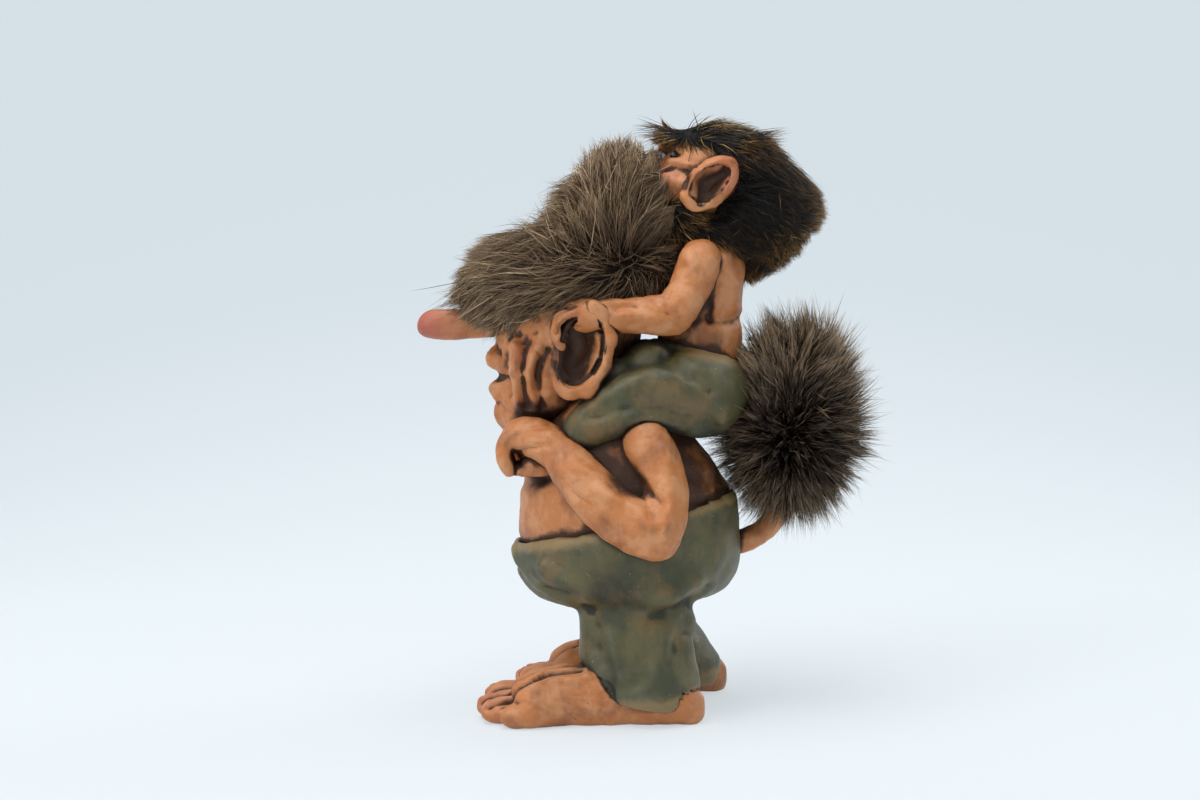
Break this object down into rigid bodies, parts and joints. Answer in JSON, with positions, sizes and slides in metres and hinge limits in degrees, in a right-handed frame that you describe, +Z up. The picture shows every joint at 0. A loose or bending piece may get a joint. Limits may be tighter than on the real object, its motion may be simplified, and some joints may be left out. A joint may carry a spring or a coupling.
{
  "type": "troll figure",
  "caption": "Folk troll figure: a barefoot long-nosed troll in green trousers carries a smaller troll on its back, with real fur hair and a tufted tail.",
  "frame": {"origin": "on the floor under the middle of the figure's bounding box", "axes": "+Z up, the troll looks along -Y, its left side is +X"},
  "size_m": [0.1128, 0.1917, 0.2405],
  "materials": {
    "skin": "satin",
    "trouser_paint": "satin",
    "grey_fur": "matte",
    "dark_fur": "matte",
    "eye_glass": "gloss",
    "dowel_wood": "matte",
    "tail_wire": "satin"
  },
  "bodies": {
    "root": {"hair_crest": "grey_fur", "head": "skin", "left_arm": "skin", "left_ear": "skin", "left_eye": "eye_glass", "left_foot": "skin", "neck_dowel": "dowel_wood", "nose": "skin", "rider_hair": "dark_fur", "rider_head": "skin", "rider_left_arm": "skin", "rider_left_ear": "skin", "rider_left_eye": "eye_glass", "rider_left_foot": "skin", "rider_neck_dowel": "dowel_wood", "rider_nose": "skin", "rider_right_arm": "skin", "rider_right_ear": "skin", "rider_right_eye": "eye_glass", "rider_right_foot": "skin", "rider_seat_dowel": "dowel_wood", "rider_torso": "skin", "rider_trousers": "trouser_paint", "right_arm": "skin", "right_ear": "skin", "right_eye": "eye_glass", "right_foot": "skin", "tail_stem": "skin", "tail_tuft": "dark_fur", "tail_wire": "tail_wire", "torso": "skin", "trousers": "trouser_paint"}
  },
  "joints": []
}
